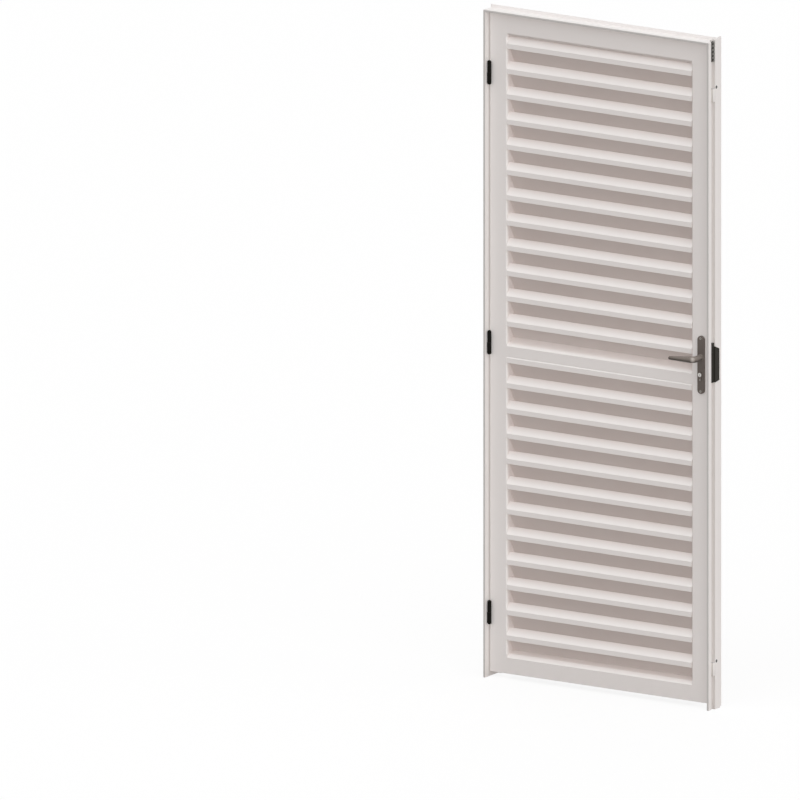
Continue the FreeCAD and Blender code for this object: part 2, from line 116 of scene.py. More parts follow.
# %% A socket that can be added and multiplied
class Flow:
    """A value that varies over a surface."""

    def __init__(self, tree, socket=None):
        self.tree = tree
        self.socket = socket

    def node(self, kind, settings, sockets, output=0):
        """A new node, its settings made and its sockets filled or linked, as a Flow from one output."""
        made = self.tree.nodes.new(kind)
        for name, value in settings.items():
            setattr(made, name, value)
        filled = sockets.items() if isinstance(sockets, dict) else enumerate(sockets)
        for name, value in filled:
            if isinstance(value, Flow):
                self.tree.links.new(value.socket, made.inputs[name])
            else:
                made.inputs[name].default_value = value
        return Flow(self.tree, made.outputs[output] if len(made.outputs) else None)

    def math(self, operation, *values):
        return self.node("ShaderNodeMath", {"operation": operation}, values)

    def __add__(self, other):
        return self.math("ADD", self, other)

    def __radd__(self, other):
        return self.math("ADD", other, self)

    def __sub__(self, other):
        return self.math("SUBTRACT", self, other)

    def __rsub__(self, other):
        return self.math("SUBTRACT", other, self)

    def __mul__(self, other):
        return self.math("MULTIPLY", self, other)

    def __rmul__(self, other):
        return self.math("MULTIPLY", other, self)

    def __abs__(self):
        return self.math("ABSOLUTE", self)


print("Flow can be added, taken away, multiplied and made positive")

# %% [markdown]
# ## Finishes
# Each finish starts from the same shader and then says what varies. `Finish` holds the node tree with the
# door's own coordinates, and has short words for the patterns that the finishes share: noise, a soft
# step, a blend of two colours, bumps and rounded edges. Sheet metal has no sharp edge, and rounding the
# shading by about half a millimetre lets every fold and arris catch the light without any more faces.

# %% The start of every finish
EDGE_SAMPLES = 4
# A Mix node counts its sockets for values first, then those for vectors and for colours
MIX_SHARE, MIX_FIRST_COLOR, MIX_SECOND_COLOR, MIX_COLOR_OUT = 0, 6, 7, 2


class Finish:
    """A material and the patterns that can feed it."""

    def __init__(self, name, color, roughness, metallic=0.0, specular=0.5):
        self.material = bpy.data.materials.new(name)
        self.material.use_nodes = True
        self.tree = self.material.node_tree
        self.shader = self.tree.nodes["Principled BSDF"]
        constants = {"Base Color": (*color, 1), "Roughness": roughness, "Metallic": metallic,
                     "Specular IOR Level": specular}
        for socket, value in constants.items():
            self.shader.inputs[socket].default_value = value
        self.node = Flow(self.tree).node
        self.place = self.node("ShaderNodeTexCoord", {}, {}, "Object")
        sides = (self.node("ShaderNodeSeparateXYZ", {}, [self.place], axis) for axis in "XYZ")
        self.x, self.y, self.z = sides

    def stretched(self, scale):
        """The coordinates with a scale for each axis, for a pattern that is drawn out in one direction."""
        return self.node("ShaderNodeMapping", {}, {"Vector": self.place, "Scale": scale})

    def noise(self, scale, detail=2.0, where=None):
        sockets = {"Vector": where or self.place, "Scale": scale, "Detail": detail}
        return self.node("ShaderNodeTexNoise", {}, sockets)

    def step(self, value, low, high, start=0.0, end=1.0):
        """From start to end, with soft shoulders, while the value goes from low to high."""
        settings = {"interpolation_type": "SMOOTHSTEP"}
        return self.node("ShaderNodeMapRange", settings, [value, low, high, start, end])

    def fade(self, value, low, high):
        """A step that falls from 1 to 0."""
        return self.step(value, low, high, 1.0, 0.0)

    def blend(self, share, first, second):
        """The first colour where the share is 0, the second where it is 1."""
        first, second = (color if isinstance(color, Flow) else (*color, 1) for color in (first, second))
        sockets = {MIX_SHARE: share, MIX_FIRST_COLOR: first, MIX_SECOND_COLOR: second}
        return self.node("ShaderNodeMix", {"data_type": "RGBA"}, sockets, MIX_COLOR_OUT)

    def bump(self, height, depth, edge):
        """Small hills of a given depth, on a surface whose edges are rounded in the shading."""
        rounded = self.node("ShaderNodeBevel", {"samples": EDGE_SAMPLES}, {"Radius": edge})
        return self.node("ShaderNodeBump", {}, {"Height": height, "Distance": depth, "Normal": rounded})

    def feed(self, **sources):
        """Link each source to the shader's socket of that name; the finished material comes back."""
        for name, value in sources.items():
            self.tree.links.new(value.socket, self.shader.inputs[name.replace("_", " ")])
        return self.material


def shaded(color, share):
    """A colour made darker, or lighter with a share above 1."""
    return tuple(min(1, part * share) for part in color)


print("Finish offers", ", ".join(name for name in vars(Finish) if not name.startswith("_")))

# %% [markdown]
# ## White powder coat
# The extrusions are sprayed with dry powder and baked, which leaves a satin skin with a very fine orange
# peel. The tone drifts by a percent or two over a bar, the gloss more than that, and the lowest part of
# the door gathers a little dust. The peel is noise at about two millimetres, used only as a shallow bump.
# The stops take this coat as it is. The leaf, the frame and its fixing blocks add marks and painted shade
# of their own to the tone, which come in as a function.

# %% White powder coat
WHITE = (0.83, 0.80, 0.785)
# Dust low on the door, and also the colour of the painted shade among the louvres
DUST_AND_SHADE = (0.60, 0.508, 0.472)
TONE_DRIFT = 0.02
LOW_DOWN = 200 * MM
LOW_DOWN_DUST = 0.1
PEEL_DEPTH = 0.05 * MM
COAT_EDGE = 0.8 * MM


def white_coat(name, marks=None):
    coat = Finish(name, WHITE, roughness=0.42)
    drift = coat.noise(scale=2.2, detail=3.0)
    specks = coat.noise(scale=160.0)
    tone = coat.blend(drift, shaded(WHITE, 1 - TONE_DRIFT), shaded(WHITE, 1 + TONE_DRIFT))
    low_down = coat.fade(coat.z, 0.0, LOW_DOWN) * coat.noise(scale=28.0, detail=4.0)
    tone = coat.blend(low_down * LOW_DOWN_DUST, tone, DUST_AND_SHADE)
    if marks:
        tone = marks(coat, tone)
    roughness = 0.36 + drift * 0.1 + specks * 0.06
    peel = coat.bump(coat.noise(scale=520.0, detail=1.0), depth=PEEL_DEPTH, edge=COAT_EDGE)
    return coat.feed(Base_Color=tone, Roughness=roughness, Normal=peel)


plain_white = white_coat("white_powder_coat")
print("white finish:", plain_white.name)

# %% [markdown]
# ## Marks of use and painted shade
# Between the stiles the tone is painted darker with depth, as painted shade among the louvres and on the
# stiles' inner sides. The frame's front edge was cut and rubbed down, and is a shade greyer than the faces
# beside it. Painted shade also darkens the top of the head's front lip, the open channel on the outer side
# of each jamb and the rebate round the leaf's edges. The inside of the jambs' hollows and a ring round
# each fixing hole are painted dark grey as painted shade. All of these follow from where a point lies, so
# they are soft steps on the coordinates.

# %% Painted shade between the stiles
LOUVRE_LOW, LOUVRE_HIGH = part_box("upper_louvre_01")
PANEL_MIDDLE = (LOUVRE_LOW.x + LOUVRE_HIGH.x) / 2
PANEL_HALF = (LOUVRE_HIGH.x - LOUVRE_LOW.x) / 2
SHADE_RISE = 20 * MM
SHADE_FALL = 4 * MM
# How much painted shade lies among the louvres
LEAF_SHADE = 0.43
LEAF_SHADE_PATCHES = 0.2
SOFT = 0.3 * MM


# Painted shade: the tone darkens with depth among the louvres, and is clean again behind them
def leaf_painted_shade(coat, tone):
    inwards = coat.step(coat.y, LOUVRE_LOW.y, LOUVRE_LOW.y + SHADE_RISE)
    backwards = coat.fade(coat.y, LOUVRE_HIGH.y - SHADE_FALL, LOUVRE_HIGH.y + SHADE_FALL)
    between = coat.fade(abs(coat.x - PANEL_MIDDLE), PANEL_HALF + SOFT, PANEL_HALF + 3 * SOFT)
    amount = LEAF_SHADE + coat.noise(scale=9.0, detail=4.0) * LEAF_SHADE_PATCHES
    return coat.blend(inwards * backwards * between * amount, tone, DUST_AND_SHADE)


leaf_white = white_coat("white_powder_coat_leaf", leaf_painted_shade)
print("panel", round(2 * PANEL_HALF / MM, 1), "mm wide between the stiles")

# %% Rubbed edge and painted shade on the frame
FRAME_LOW, FRAME_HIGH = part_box("lock_jamb")
HEAD_LOW, HEAD_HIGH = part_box("head")
LEAF_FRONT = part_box("hinge_stile")[0].y
DOOR_MIDDLE = (cad_box[0].x + cad_box[1].x) / 2
REBATE_HALF = FRAME_LOW.x - DOOR_MIDDLE
CHANNEL = (-26 * MM, -14 * MM)
CHANNEL_DEPTH = 10 * MM
CHANNEL_FLOOR = FRAME_HIGH.x - CHANNEL_DEPTH - DOOR_MIDDLE
LIP_BELOW_TOP = 6 * MM
LIP_TOP = HEAD_HIGH.z - LIP_BELOW_TOP
WALL = 2 * MM
FRAME_RUBBED = (0.42, 0.41, 0.40)
RUBBED = 0.5
RUBBED_PATCHES = 0.2
# Painted shade in the outer channels, on top of the front lip and in the rebate
FRAME_SHADE = (0.58, 0.545, 0.52)
CHANNEL_SHADE = 0.6
TOP_SHADE = 0.15
INNER_SHADE = 0.15
REBATE_SHADE = 0.5


# A rubbed front edge, then painted shade in the channel, on the lip's top and in the rebate round the leaf
def frame_wear_and_shade(coat, tone):
    front_edge = coat.fade(coat.y, FRAME_LOW.y, FRAME_LOW.y + 2 * SOFT)
    rubbed = front_edge * (RUBBED + coat.noise(scale=3.0) * RUBBED_PATCHES)
    tone = coat.blend(rubbed, tone, FRAME_RUBBED)
    across = abs(coat.x - DOOR_MIDDLE)
    channel = (coat.step(across, CHANNEL_FLOOR - SOFT, CHANNEL_FLOOR)
               * coat.step(coat.y, CHANNEL[0] - SOFT, CHANNEL[0])
               * coat.fade(coat.y, CHANNEL[1], CHANNEL[1] + SOFT))
    on_top = (coat.step(coat.z, LIP_TOP - 2 * SOFT, LIP_TOP - SOFT)
              * coat.fade(coat.y, CHANNEL[0], CHANNEL[1]))
    inner_side = (coat.fade(across, REBATE_HALF + SOFT, REBATE_HALF + 2 * SOFT)
                  * coat.fade(coat.z, HEAD_LOW.z + SOFT, HEAD_LOW.z + 2 * SOFT))
    behind_front = coat.step(coat.y, LEAF_FRONT - WALL, LEAF_FRONT + WALL)
    inner_shade = inner_side * (INNER_SHADE + behind_front * REBATE_SHADE)
    return coat.blend(channel * CHANNEL_SHADE + on_top * TOP_SHADE + inner_shade, tone, FRAME_SHADE)


print("channel floor", round(CHANNEL_FLOOR / MM), "mm from the door's middle")

# %% Painted shade in the hollows and round the fixing holes
# Dark grey painted as shade inside hollows and holes, and as shadow at the fixing blocks' ends
SHADE_GREY = (0.16, 0.16, 0.16)
HOLLOW_HALF = 12 * MM
HOLLOW_END = FRAME_HIGH.x - WALL - DOOR_MIDDLE
FIXING_HEIGHTS = {"lower": 150 * MM, "upper": 1950 * MM}
FIXING_DEPTH = -6 * MM
FIXING_RING = 4.8 * MM


# Painted shade: dark grey in a ring round each fixing hole and inside the jambs' hollows
def frame_marks(coat, tone):
    tone = frame_wear_and_shade(coat, tone)
    across = abs(coat.x - DOOR_MIDDLE)
    outer_side = coat.step(across, CHANNEL_FLOOR - SOFT, CHANNEL_FLOOR)
    for height in FIXING_HEIGHTS.values():
        along, upwards = coat.y - FIXING_DEPTH, coat.z - height
        distance_squared = along * along + upwards * upwards
        ring = coat.fade(distance_squared, FIXING_RING ** 2, (FIXING_RING + SOFT) ** 2)
        tone = coat.blend(ring * outer_side, tone, SHADE_GREY)
    hollow = (outer_side * coat.fade(across, HOLLOW_END, HOLLOW_END + SOFT)
              * coat.fade(abs(coat.y), HOLLOW_HALF, HOLLOW_HALF + SOFT)
              * coat.fade(coat.z, HEAD_LOW.z - HOLLOW_HALF, HEAD_LOW.z))
    return coat.blend(hollow, tone, SHADE_GREY)


frame_white = white_coat("white_powder_coat_frame", frame_marks)
print("fixing holes at", [round(height / MM) for height in FIXING_HEIGHTS.values()], "mm")

# %% [markdown]
# ## Dark finishes
# A few dark finishes stand out from the white. The hinges are steel under matt black paint, and the same
# black stands in the screw sockets and keyways as painted shade. The handle set is aluminium, anodised a
# warm dark grey and brushed along its length, so its grain is noise drawn out long in one direction. The
# levers are a lighter grey than their plates. Their undersides are painted darker as painted shade, and
# the outside of each elbow is painted lighter as a painted highlight. The strike box is moulded in black
# plastic with a fine spark texture, and so are the anchor cleats, with greyer teeth. What shows of the
# lock is satin nickel.

# %% Black paint, also used as painted shade in holes
# The hinges' black paint, which also stands as painted shade in screw sockets and keyways
HINGE_BLACK_AND_HOLE_SHADE = (0.005, 0.0045, 0.0035)
HINGE_RUBBED = (0.022, 0.02, 0.018)
RUBS_FROM, RUBS_FULL = 0.62, 0.78
RUBS_SHARE = 0.3


# Black paint for the hinges; the same finish is painted shade in screw sockets and keyways
def black_paint():
    black = Finish("hinge_black_paint_and_hole_shade", HINGE_BLACK_AND_HOLE_SHADE, roughness=0.5, specular=0.08)
    rubs = black.step(black.noise(scale=90.0, detail=4.0), RUBS_FROM, RUBS_FULL)
    tone = black.blend(rubs * RUBS_SHARE, HINGE_BLACK_AND_HOLE_SHADE, HINGE_RUBBED)
    roughness = 0.44 + black.noise(scale=40.0, detail=3.0) * 0.14
    peel = black.bump(black.noise(scale=900.0, detail=1.0), depth=0.03 * MM, edge=0.5 * MM)
    return black.feed(Base_Color=tone, Roughness=roughness, Normal=peel)


hinge_black = black_paint()
print("painted finish:", hinge_black.name)

# %% Dark anodised metal
FINE_GRAIN = 1800.0
LONG_GRAIN = 25.0
PLATE_GREY = (0.128, 0.108, 0.096)
GRAIN_SHARE = 0.6
METAL_DRIFT = 0.25


def dark_anodised(name, color, metallic, scale, marks=None):
    """Brushed and anodised: the grain is drawn out along the side where the scale is small."""
    metal = Finish(name, color, roughness=0.45, metallic=metallic, specular=0.25)
    grain = metal.noise(scale=1.0, detail=3.0, where=metal.stretched(scale))
    cloud = metal.noise(scale=35.0, detail=3.0)
    mottle = grain * GRAIN_SHARE + cloud * (1 - GRAIN_SHARE)
    tone = metal.blend(mottle, shaded(color, 1 - METAL_DRIFT), shaded(color, 1 + METAL_DRIFT))
    if marks:
        tone = marks(metal, tone)
    brushing = metal.bump(grain, depth=0.02 * MM, edge=0.9 * MM)
    return metal.feed(Base_Color=tone, Roughness=0.38 + grain * 0.16, Normal=brushing)


upright_grain = (FINE_GRAIN, FINE_GRAIN, LONG_GRAIN)
plate_metal = dark_anodised("dark_anodised_plate", PLATE_GREY, metallic=0.3, scale=upright_grain)
print("metal finish:", plate_metal.name)

# %% Painted shade and highlight on the levers
LEVER_GREY = (0.21, 0.182, 0.162)
LEVER_METALLIC = 0.05
# Painted shade for the lever's underside and a painted highlight for its elbow
LEVER_UNDERSIDE_SHADE = (0.05, 0.042, 0.036)
LEVER_ELBOW_HIGHLIGHT = (0.52, 0.475, 0.44)
UNDERSIDE = (-9 * MM, 4 * MM)
OUTER_FACE = (-12 * MM, -2 * MM)
ELBOW = (-8 * MM, 2 * MM)
ELBOW_HIGHLIGHT_SHARE = 0.8


def joint_place(name):
    """A point on a joint's axis."""
    return Vector(next(joint for joint in frame["joints"] if joint["name"] == name)["pos_m"])


lever_axis = joint_place("lever_turn")
front_lever_low, back_lever_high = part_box("front_lever")[0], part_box("back_lever")[1]
LEVERS_MIDDLE = (front_lever_low.y + back_lever_high.y) / 2
LEVER_REACH = back_lever_high.y - LEVERS_MIDDLE


# Painted shade darkens the lever's underside, and a painted highlight lightens the outside of its elbow
def lever_shade_and_highlight(metal, tone):
    under = metal.fade(metal.z, lever_axis.z + UNDERSIDE[0], lever_axis.z + UNDERSIDE[1])
    tone = metal.blend(under, tone, LEVER_UNDERSIDE_SHADE)
    depth = abs(metal.y - LEVERS_MIDDLE)
    outwards = metal.step(depth, LEVER_REACH + OUTER_FACE[0], LEVER_REACH + OUTER_FACE[1])
    elbow = metal.step(metal.x, lever_axis.x + ELBOW[0], lever_axis.x + ELBOW[1])
    return metal.blend(outwards * elbow * ELBOW_HIGHLIGHT_SHARE, tone, LEVER_ELBOW_HIGHLIGHT)


grip_grain = (LONG_GRAIN, FINE_GRAIN, FINE_GRAIN)
neck_grain = (FINE_GRAIN, LONG_GRAIN, FINE_GRAIN)
lever_metal = dark_anodised("dark_anodised_lever", LEVER_GREY, LEVER_METALLIC, grip_grain, lever_shade_and_highlight)
collar_metal = dark_anodised("dark_anodised_collar", LEVER_GREY, LEVER_METALLIC, neck_grain)
print("levers reach", round(LEVER_REACH / MM), "mm out from the middle of the leaf")

# %% Moulded plastic and satin nickel
STRIKE_BLACK = (0.024, 0.022, 0.018)
TOOTH_GREY = (0.20, 0.194, 0.18)
PLASTIC_DARK, PLASTIC_LIGHT = 0.8, 1.25
NICKEL = (0.60, 0.585, 0.56)
NICKEL_DARK = (0.52, 0.505, 0.48)
NICKEL_LIGHT = (0.68, 0.665, 0.64)
TURNING = (2600.0, 60.0, 2600.0)


def moulded_plastic(name, color):
    plastic = Finish(name, color, roughness=0.5, specular=0.12)
    spark = plastic.noise(scale=1400.0, detail=2.0)
    clouds = plastic.noise(scale=60.0, detail=3.0)
    tone = plastic.blend(clouds, shaded(color, PLASTIC_DARK), shaded(color, PLASTIC_LIGHT))
    texture = plastic.bump(spark, depth=0.06 * MM, edge=0.6 * MM)
    return plastic.feed(Base_Color=tone, Roughness=0.45 + spark * 0.2, Normal=texture)


def satin_nickel():
    metal = Finish("satin_nickel", NICKEL, roughness=0.3, metallic=0.9)
    turning = metal.noise(scale=1.0, detail=3.0, where=metal.stretched(TURNING))
    tone = metal.blend(turning, NICKEL_DARK, NICKEL_LIGHT)
    lines = metal.bump(turning, depth=0.015 * MM, edge=0.4 * MM)
    return metal.feed(Base_Color=tone, Roughness=0.24 + turning * 0.14, Normal=lines)


strike_black = moulded_plastic("black_plastic_strike", STRIKE_BLACK)
tooth_grey = moulded_plastic("grey_plastic_cleat", TOOTH_GREY)
nickel = satin_nickel()
print("plastic and nickel finishes:", strike_black.name, tooth_grey.name, nickel.name)

# %% [markdown]
# ## Painting the solids
# Every solid carries a name, so a short list of name parts decides what it is painted with, and the first
# part that fits counts. That is why the stops come first: one of them has the head's name in its own.

# %% A finish for every solid
PAINTS = {
    "_stop": plain_white,
    "_rail": leaf_white,
    "_stile": leaf_white,
    "louvre": leaf_white,
    "_jamb": frame_white,
    "head": frame_white,
    "hinge_frame_half": hinge_black,
    "hinge_leaf_half": hinge_black,
    "_plate": plate_metal,
    "_lever": lever_metal,
    "cleat": strike_black,
    "strike_box": strike_black,
    "spindle": nickel,
    "lock_cylinder": plate_metal,
    "lock_faceplate": nickel,
}


def paint(piece, material):
    piece.data.materials.clear()
    piece.data.materials.append(material)


for name, node in nodes.items():
    paint(node, next(material for part, material in PAINTS.items() if part in name))
finishes = {node.data.materials[0].name for node in nodes.values()}
print("painted", len(nodes), "nodes with", len(finishes), "finishes")

# %% [markdown]
# ## Studio
# What faces up is lightest, faces to the right are lighter than front ones, and shadows are faint. So a
# wide sun stands almost overhead, and its shadow darkens the louvres towards their ridges. A weak one on
# the right adds a trace of shadow from that side. Three more fill in from the right, the front and the
# back. They cast no shadow and stay out of reflections too, because their glare would burn out the
# louvres seen from a low side. Under an even sky this stays at a plain level, where a colour shows about
# as it is written.

# %% What the camera sees of the sky and floor
def shown_rays(flow):
    """1 for rays from the camera, from gloss and through glass, 0 for light that falls on the door."""
    kinds = ("Camera", "Glossy", "Transmission")
    camera, gloss, glass = (flow.node("ShaderNodeLightPath", {}, {}, f"Is {kind} Ray") for kind in kinds)
    return flow.math("MINIMUM", camera + gloss + glass, 1.0)


SKY_LIGHT = 0.24
world = bpy.data.worlds.new("studio")
bpy.context.scene.world = world
world.use_nodes = True
world.node_tree.nodes.clear()
sky = Flow(world.node_tree)
level = SKY_LIGHT + shown_rays(sky) * (1 - SKY_LIGHT)
background = sky.node("ShaderNodeBackground", {}, {"Color": (1, 1, 1, 1), "Strength": level})
sky.node("ShaderNodeOutputWorld", {}, {"Surface": background})
print("sky light", SKY_LIGHT)

# %% Lamps
LAMP_WIDTH = math.radians(75)
FROM_RIGHT = Vector((0.93, -0.20, 0.30))
# Where each lamp stands, its strength, and whether it is a key lamp, with shadow and reflections
LAMPS = {
    "overhead": (Vector((0.10, -0.05, 0.99)), 0.76, True),
    "side": (FROM_RIGHT, 0.35, True),
    "side_fill": (FROM_RIGHT, 1.63, False),
    "front_fill": (Vector((0.0, -0.76, 0.65)), 1.23, False),
    "back_fill": (Vector((-0.60, 0.79, 0.12)), 1.25, False),
}
for name, (towards, strength, is_key) in LAMPS.items():
    lamp = bpy.data.objects.new(name, bpy.data.lights.new(name, "SUN"))
    lamp.data.energy = strength
    lamp.data.angle = LAMP_WIDTH
    lamp.data.use_shadow = is_key
    lamp.visible_glossy = is_key
    lamp.rotation_euler = (-towards).to_track_quat("-Z", "Y").to_euler()
    bpy.context.scene.collection.objects.link(lamp)
    print(name, "lamp", strength)

# %% [markdown]
# ## Floor
# The floor is a plain sheet that the camera sees nearly white, with a part of the door's soft shadow
# kept. Only a little warm light comes back up from it, which keeps the undersides between the louvres
# warm and dim.

# %% Floor
FLOOR_HALF = 30
FLOOR_SEEN = (0.95, 0.95, 0.95, 1)
FLOOR_BOUNCE = (0.24, 0.20, 0.18, 1)
SHADOW_KEPT = 0.16


def new_object(name, builder, material):
    """Turn a finished bmesh into an object at the origin."""
    mesh = bpy.data.meshes.new(name)
    builder.to_mesh(mesh)
    builder.free()
    made = bpy.data.objects.new(name, mesh)
    bpy.context.scene.collection.objects.link(made)
    made.data.materials.append(material)
    return made


pale = bpy.data.materials.new("pale_floor")
pale.use_nodes = True
pale.node_tree.nodes.clear()
ground = Flow(pale.node_tree)
bounce = ground.node("ShaderNodeBsdfDiffuse", {}, {"Color": FLOOR_BOUNCE})
lit = ground.node("ShaderNodeBsdfDiffuse", {}, {"Color": FLOOR_SEEN})
glow = ground.node("ShaderNodeEmission", {}, {"Color": (1, 1, 1, 1), "Strength": 1.0})
seen = ground.node("ShaderNodeMixShader", {}, [1 - SHADOW_KEPT, lit, glow])
surface = ground.node("ShaderNodeMixShader", {}, [shown_rays(ground), bounce, seen])
ground.node("ShaderNodeOutputMaterial", {}, {"Surface": surface})

builder = bmesh.new()
bmesh.ops.create_grid(builder, x_segments=1, y_segments=1, size=FLOOR_HALF)
floor = new_object("floor", builder, pale)
floor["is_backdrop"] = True
print("floor", 2 * FLOOR_HALF, "m wide")

# %% [markdown]
# ## Turned pieces
# Washers, screw heads, collars and cylinder plugs are all turned on a lathe. Blender's lathe is the spin
# operator: a few points draw half of the outline, from the axis outwards, and a full turn makes the rest.
# A turn can leave the surface inside out, so the doubles on the axis are merged and the normals worked
# out again.

# %% A lathe
TURN_STEPS = 40
MERGE = 0.01 * MM
TOWARDS = {
    "front": Matrix.Rotation(math.radians(90), 4, "X"),
    "back": Matrix.Rotation(math.radians(-90), 4, "X"),
    "up": Matrix.Identity(4),
    "right": Matrix.Rotation(math.radians(90), 4, "Y"),
}


def turned(outline, centre, towards, steps=TURN_STEPS):
    """A bmesh spun from radii and heights in millimetres, standing at a centre and facing a side."""
    builder = bmesh.new()
    points = [builder.verts.new((radius * MM, 0, height * MM)) for radius, height in outline]
    edges = [builder.edges.new(pair) for pair in zip(points, points[1:])]
    bmesh.ops.spin(builder, geom=points + edges, cent=(0, 0, 0), axis=(0, 0, 1), angle=math.tau,
                   steps=steps, use_merge=True)
    bmesh.ops.remove_doubles(builder, verts=builder.verts, dist=MERGE)
    bmesh.ops.recalc_face_normals(builder, faces=builder.faces)
    placed = Matrix.Translation(centre) @ TOWARDS[towards]
    bmesh.ops.transform(builder, matrix=placed, verts=builder.verts)
    return builder


SMOOTH_BELOW = math.radians(35)


def fit(name, builder, material, body):
    """Finish a piece: shade its shallow edges smooth, put its finish on it and let it ride on a body."""
    for face in builder.faces:
        face.smooth = True
    for edge in builder.edges:
        edge.smooth = len(edge.link_faces) == 2 and edge.calc_face_angle() < SMOOTH_BELOW
    made = new_object(name, builder, material)
    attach(made, body)
    return made


print("lathe set to", TURN_STEPS, "steps")

# %% [markdown]
# ## Hinge washers and caps
# Each barrel is split in the middle, and a grey nylon washer there takes the leaf's weight. Its upper end
# is closed by a small domed cap that is pressed in. Both are plain turned shapes on the hinge line, which
# the joint gives.

# %% Washers and caps on the hinge line
NYLON = (0.10, 0.10, 0.095)
NYLON_DARK = (0.08, 0.08, 0.076)
NYLON_LIGHT = (0.13, 0.128, 0.12)
WASHER = [(3.2, -0.22), (5.9, -0.22), (6.1, 0), (5.9, 0.22), (3.2, 0.22), (3.2, -0.22)]
CAP = [(0, 0.9), (1.6, 0.8), (2.7, 0.45), (3.2, 0), (3.2, -0.6), (0, -0.6)]


def nylon():
    plastic = Finish("grey_nylon", NYLON, roughness=0.5)
    mottle = plastic.noise(scale=300.0, detail=3.0)
    tone = plastic.blend(mottle, NYLON_DARK, NYLON_LIGHT)
    grain = plastic.bump(mottle, depth=0.03 * MM, edge=0.2 * MM)
    return plastic.feed(Base_Color=tone, Roughness=0.45 + mottle * 0.2, Normal=grain)


washer_nylon = nylon()
pin = joint_place("door_swing")
for place in ("top", "middle", "bottom"):
    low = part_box(f"{place}_hinge_frame_half")[0].z
    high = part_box(f"{place}_hinge_leaf_half")[1].z
    split = Vector((pin.x, pin.y, (low + high) / 2))
    end = Vector((pin.x, pin.y, high))
    fit(f"{place}_hinge_washer", turned(WASHER, split, "up"), washer_nylon, "frame")
    fit(f"{place}_hinge_cap", turned(CAP, end, "up"), hinge_black, "leaf")
print("hinge line at", round(pin.x / MM, 1), round(pin.y / MM, 1))

# %% [markdown]
# ## Handle plates
# The long plates have round ends and a soft edge all round the front. A disc gives the round ends: its
# upper half is lifted and its lower half lowered until the disc is a long slot shape. That face is drawn
# out to the plate's thickness, and its front rim is bevelled. The solids' plates are plain, so these
# stand in for them.

# %% Plates with rounded rims
PLATE_STEPS = 48
PLATE_RIM = 2.2 * MM
RIM_STEPS = 4


def verts_in(geom):
    return [item for item in geom if isinstance(item, bmesh.types.BMVert)]


def long_plate(node, side):
    low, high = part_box(node)
    radius = (high.x - low.x) / 2
    face, seat = (low.y, high.y) if side == "front" else (high.y, low.y)
    builder = bmesh.new()
    bmesh.ops.create_circle(builder, cap_ends=True, segments=PLATE_STEPS, radius=radius)
    half_step = Matrix.Rotation(math.pi / PLATE_STEPS, 4, "Z")
    bmesh.ops.transform(builder, matrix=TOWARDS["front"] @ half_step, verts=builder.verts)
    upper = [vert for vert in builder.verts if vert.co.z > 0]
    lower = [vert for vert in builder.verts if vert.co.z < 0]
    for verts, z in ((upper, high.z - radius), (lower, low.z + radius)):
        bmesh.ops.translate(builder, verts=verts, vec=(lever_axis.x, seat, z))
    front = verts_in(bmesh.ops.extrude_face_region(builder, geom=builder.faces[:])["geom"])
    bmesh.ops.translate(builder, verts=front, vec=(0, face - seat, 0))
    rim = [edge for edge in builder.edges if all(vert in front for vert in edge.verts)]
    bmesh.ops.bevel(builder, geom=rim, offset=PLATE_RIM, affect="EDGES", segments=RIM_STEPS,
                    profile=0.5, material=-1)
    bmesh.ops.recalc_face_normals(builder, faces=builder.faces)
    made = fit(f"{node}_rounded", builder, plate_metal, "leaf")
    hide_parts(node)
    return face


plate_faces = {side: long_plate(f"{side}_plate", side) for side in ("front", "back")}
print("plate faces at y", {side: round(y / MM, 1) for side, y in plate_faces.items()})

# %% [markdown]
# ## Screws, collars and cylinder plugs
# Two countersunk screws hold each plate, a collar guides the lever's neck, and the lock cylinder shows a
# bright plug with a keyway and, at the foot of its tail, a small pin. Most of these are turned. A screw's
# socket is a dark hexagon of painted shade, made by the same lathe with six steps, and a keyway is a thin
# dark block of painted shade let into the plug's face.

# %% Screws in the plates
SCREW_FROM_END = 8 * MM
SCREW = [(0, 0.5), (1.5, 0.5), (3.2, 0.35), (3.8, 0), (3.8, -1.5), (0, -1.5)]
SOCKET = [(0, 0.56), (1.35, 0.56), (1.35, 0.4), (0, 0.4)]
SOCKET_SIDES = 6
STEEL = (0.30, 0.28, 0.26)
STEEL_DARK = (0.24, 0.225, 0.205)
STEEL_LIGHT = (0.38, 0.36, 0.335)
WIPING = (900.0, 900.0, 120.0)


def dull_steel():
    steel = Finish("dull_screw_steel", STEEL, roughness=0.35, metallic=0.85)
    wipe = steel.noise(scale=1.0, detail=2.0, where=steel.stretched(WIPING))
    tone = steel.blend(wipe, STEEL_DARK, STEEL_LIGHT)
    lines = steel.bump(wipe, depth=0.01 * MM, edge=0.2 * MM)
    return steel.feed(Base_Color=tone, Roughness=0.28 + wipe * 0.15, Normal=lines)


def fit_screw(name, at, towards, head, socket):
    """A turned screw head with a dark hexagon on it, painted shade for its socket."""
    fit(name, turned(head, at, towards), screw_steel, "leaf")
    fit(f"{name}_socket", turned(socket, at, towards, SOCKET_SIDES), hinge_black, "leaf")


screw_steel = dull_steel()
for side, face in plate_faces.items():
    low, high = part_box(f"{side}_plate")
    for place, z in (("top", high.z - SCREW_FROM_END), ("bottom", low.z + SCREW_FROM_END)):
        fit_screw(f"{side}_plate_{place}_screw", Vector((lever_axis.x, face, z)), side, SCREW, SOCKET)
print("plate screws", round((high.z - low.z - 2 * SCREW_FROM_END) / MM, 1), "mm apart")

